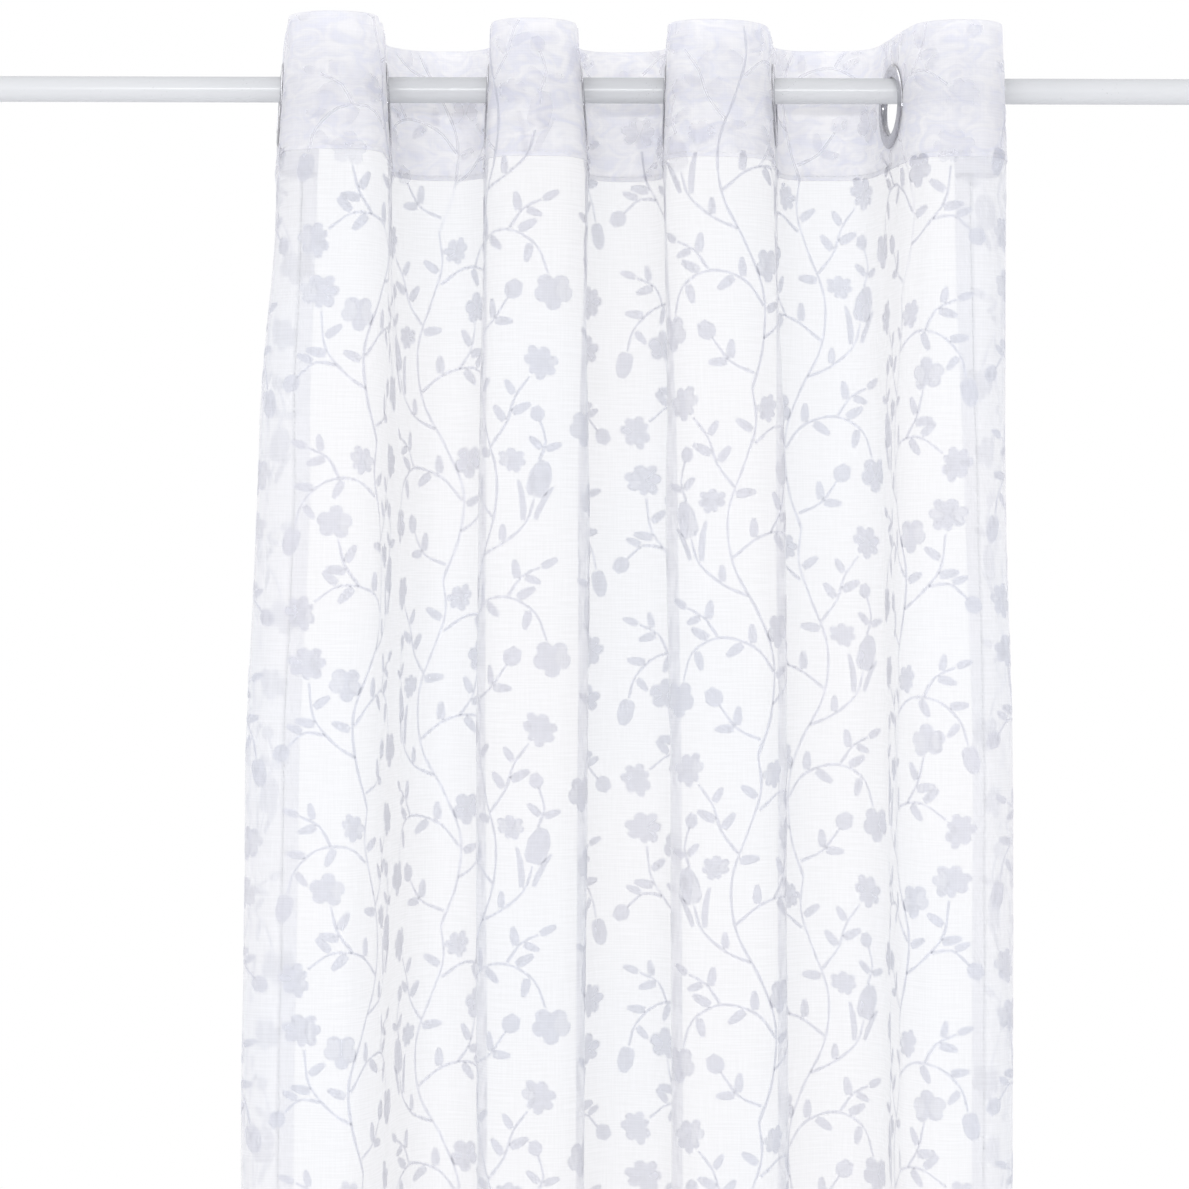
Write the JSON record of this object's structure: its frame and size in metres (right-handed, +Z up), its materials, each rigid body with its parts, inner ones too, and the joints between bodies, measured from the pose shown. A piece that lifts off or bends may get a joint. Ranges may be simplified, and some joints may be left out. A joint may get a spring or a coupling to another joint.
{
  "type": "sheer voile eyelet curtain on a rod",
  "caption": "Sheer voile curtain hanging in soft front-and-back folds from metal eyelets on a plain white round rod.",
  "frame": {"origin": "on the rod's axis, at the middle of the curtain's heading", "axes": "+X along the rod to the right as seen from the room, +Y away from the viewer towards the window, +Z up"},
  "size_m": [1.2, 0.1502, 2.4032],
  "materials": {
    "voile": "sheer slubbed voile with a woven pattern of trailing flowers",
    "heading_voile": "the same voile, doubled over a stiff tape",
    "chrome": "polished",
    "white_paint": "satin white paint"
  },
  "bodies": {
    "root": {"panel": "voile", "heading": "heading_voile", "rod": "white_paint", "eyelet_1": "chrome", "eyelet_2": "chrome", "eyelet_3": "chrome", "eyelet_4": "chrome", "eyelet_5": "chrome", "eyelet_6": "chrome", "eyelet_7": "chrome", "eyelet_8": "chrome"}
  },
  "joints": []
}
